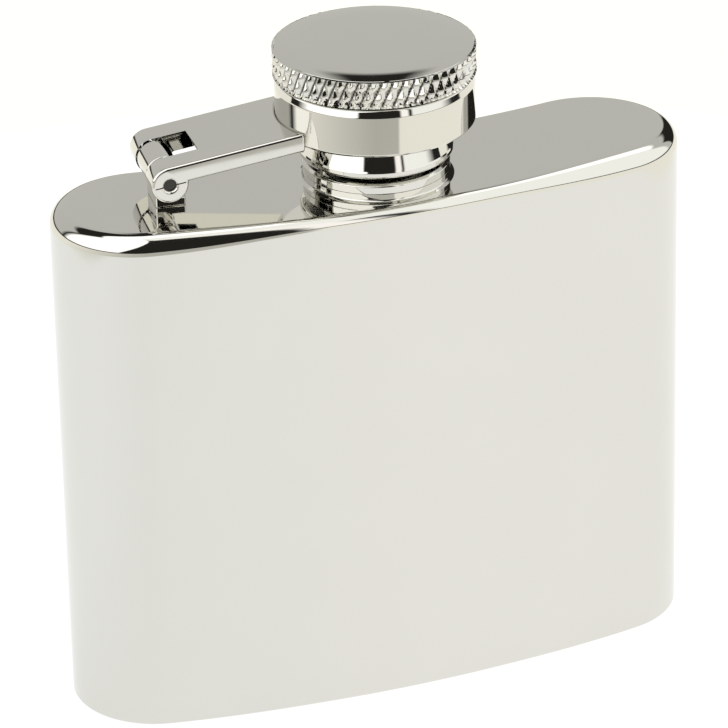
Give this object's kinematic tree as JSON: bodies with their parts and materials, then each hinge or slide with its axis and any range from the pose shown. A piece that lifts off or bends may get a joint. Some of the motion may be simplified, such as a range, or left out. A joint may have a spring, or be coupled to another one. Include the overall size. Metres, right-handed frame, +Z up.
{
  "type": "hip flask",
  "caption": "Small curved polished steel hip flask with a knurled screw cap kept on a hinged captive arm.",
  "frame": {"origin": "middle of the bounding box on the underside of the base", "axes": "+X along the width towards the side away from the hinge, +Y towards the hollow back, +Z up through the neck"},
  "size_m": [0.066, 0.0214, 0.0684],
  "materials": {
    "body_steel": "mirror-polished stainless steel",
    "cap_steel": "mirror-polished stainless steel, knurled rim",
    "hinge_steel": "polished stainless steel",
    "thread_steel": "machined stainless steel",
    "liner": "soft white food-grade silicone"
  },
  "bodies": {
    "flask": {"body_wrap": "body_steel", "top_plate": "body_steel", "bottom_plate": "body_steel", "neck_ring": "body_steel", "neck_spout": "body_steel", "hinge_bracket": "hinge_steel"},
    "arm": {"arm_strap": "hinge_steel", "captive_collar": "cap_steel", "hinge_pin": "hinge_steel"},
    "cap": {"cap_shell": "cap_steel", "cap_core": "thread_steel", "retaining_ring": "cap_steel", "cap_liner": "liner"}
  },
  "joints": [
    {"name": "arm_swing", "type": "hinge", "parent": "flask", "child": "arm", "pos_m": [-0.02186, 0.0019, 0.05775], "axis": [-0.1132, -0.9936, 0], "range_deg": [0, 175]},
    {"name": "cap_spin", "type": "hinge", "parent": "arm", "child": "cap", "pos_m": [0, -0.00059, 0.062], "axis": [0, 0, 1], "continuous": true}
  ]
}
